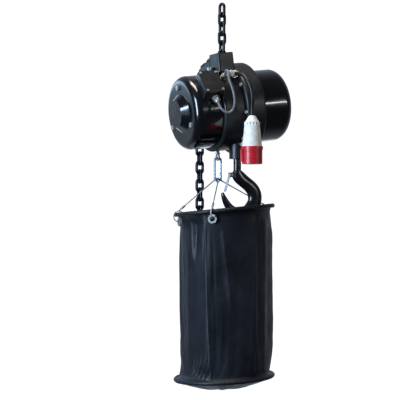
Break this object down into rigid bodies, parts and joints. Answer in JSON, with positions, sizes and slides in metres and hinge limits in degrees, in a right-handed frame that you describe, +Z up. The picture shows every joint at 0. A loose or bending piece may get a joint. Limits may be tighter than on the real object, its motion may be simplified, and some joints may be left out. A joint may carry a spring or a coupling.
{
  "type": "electric chain hoist",
  "caption": "Climbing electric chain hoist with twin drum covers, a load hook with latch, a short plug lead and a hanging round fabric bag for the slack chain.",
  "frame": {"origin": "bearing point inside the top link of the load chain, where the hoist hangs from", "axes": "+Z up along the load chain, +X along the motor shaft towards the gear cover, -Y towards the side with the junction box and plug"},
  "size_m": [0.3091, 0.3104, 1.0002],
  "materials": {
    "blackened_chain": "blackened, lightly oiled",
    "gloss_black_paint": "gloss",
    "satin_black_casting": "satin black paint",
    "core_steel": "laminated",
    "copper_winding": "varnished",
    "brake_lining": "matte",
    "machined_steel": "machined",
    "nickel_plate": "satin plate",
    "box_black": "semi gloss",
    "moulded_grey": "moulded",
    "grey_cable": "satin",
    "black_rubber": "satin",
    "plug_light_grey": "satin moulded",
    "plug_red": "moulded",
    "brass_pin": "nickel plated",
    "forged_black": "painted forging",
    "galvanised_steel": "zinc plated",
    "bag_nylon": "coated nylon"
  },
  "bodies": {
    "load_chain": {"load_chain": "blackened_chain"},
    "hoist_body": {"slack_chain": "blackened_chain", "motor_cover": "gloss_black_paint", "gear_cover": "gloss_black_paint", "casing_frame": "satin_black_casting", "gear_case": "satin_black_casting", "guide_block": "satin_black_casting", "chain_chute": "satin_black_casting", "stator_core": "core_steel", "stator_windings": "copper_winding", "motor_bearing": "machined_steel", "brake_coil": "core_steel", "brake_plate": "core_steel", "lay_bearings": "machined_steel", "wheel_bearings": "machined_steel", "cover_screws": "nickel_plate", "casing_bolts": "nickel_plate", "spare_fittings": "nickel_plate", "junction_box": "box_black", "junction_lid": "box_black", "lid_screws": "nickel_plate", "terminal_block": "moulded_grey", "control_glands": "nickel_plate", "power_gland": "nickel_plate", "control_cable": "grey_cable", "power_cable": "black_rubber", "plug_nut": "plug_light_grey", "plug_body": "plug_light_grey", "plug_collar": "plug_red", "plug_pins": "brass_pin", "hook_yoke": "satin_black_casting", "hook_pin": "machined_steel", "thrust_bearing": "machined_steel", "bag_eye": "galvanised_steel"},
    "motor_rotor": {"rotor_core": "core_steel", "motor_shaft": "machined_steel", "motor_pinion": "machined_steel", "brake_disc": "brake_lining"},
    "lay_shaft_set": {"lay_shaft": "machined_steel", "lay_gear": "machined_steel", "lay_pinion": "machined_steel"},
    "lift_wheel_set": {"lift_wheel": "machined_steel", "wheel_shaft": "machined_steel", "output_gear": "machined_steel"},
    "load_hook": {"hook": "forged_black", "hook_nut": "machined_steel", "latch_pin": "machined_steel"},
    "latch": {"hook_latch": "galvanised_steel"},
    "bag": {"carabiner": "galvanised_steel", "bag_wires": "galvanised_steel", "wire_ferrules": "galvanised_steel", "grommets": "nickel_plate", "top_hoop": "bag_nylon", "bottom_hoop": "bag_nylon", "chain_bag": "bag_nylon", "chain_heap": "blackened_chain"},
    "gate": {"carabiner_gate": "galvanised_steel"}
  },
  "joints": [
    {"name": "climb", "type": "slide", "parent": "load_chain", "child": "hoist_body", "axis": [0, 0, 1], "range_m": [-0.03, 0.03]},
    {"name": "lift_wheel_spin", "type": "hinge", "parent": "hoist_body", "child": "lift_wheel_set", "pos_m": [0.01414, 0.0382, -0.26514], "axis": [0.9925, 0, 0.1219], "range_deg": [-60, 60]},
    {"name": "lay_shaft_spin", "type": "hinge", "parent": "hoist_body", "child": "lay_shaft_set", "pos_m": [0.00865, 0.0382, -0.22047], "axis": [0.9925, 0, 0.1219], "range_deg": [-240, 240]},
    {"name": "motor_spin", "type": "hinge", "parent": "hoist_body", "child": "motor_rotor", "pos_m": [0.01414, 0.0382, -0.26514], "axis": [0.9925, 0, 0.1219], "range_deg": [-1200, 1200]},
    {"name": "hook_swivel", "type": "hinge", "parent": "hoist_body", "child": "load_hook", "pos_m": [0.04389, 0, -0.388], "axis": [0, 0, 1], "range_deg": [0, 30]},
    {"name": "hook_latch_swing", "type": "hinge", "parent": "load_hook", "child": "latch", "pos_m": [0.02489, 0, -0.435], "axis": [0, -1, 0], "range_deg": [0, 28], "stiffness_Nm_per_rad": 0.05, "springref_deg": -28.65},
    {"name": "bag_swing", "type": "hinge", "parent": "hoist_body", "child": "bag", "pos_m": [0.012, 0.05, -0.3925], "axis": [0, 1, 0], "range_deg": [-2.5, 2.5]},
    {"name": "carabiner_gate_swing", "type": "hinge", "parent": "bag", "child": "gate", "pos_m": [0.021, 0.05, -0.4296], "axis": [0, -1, 0], "range_deg": [0, 20], "stiffness_Nm_per_rad": 0.02, "springref_deg": -28.65}
  ],
  "couplings": [
    {"joint": "lift_wheel_spin", "follows": "climb", "rad_per_m": 26.18},
    {"joint": "lay_shaft_spin", "follows": "climb", "rad_per_m": -104.72},
    {"joint": "motor_spin", "follows": "climb", "rad_per_m": 523.6}
  ]
}
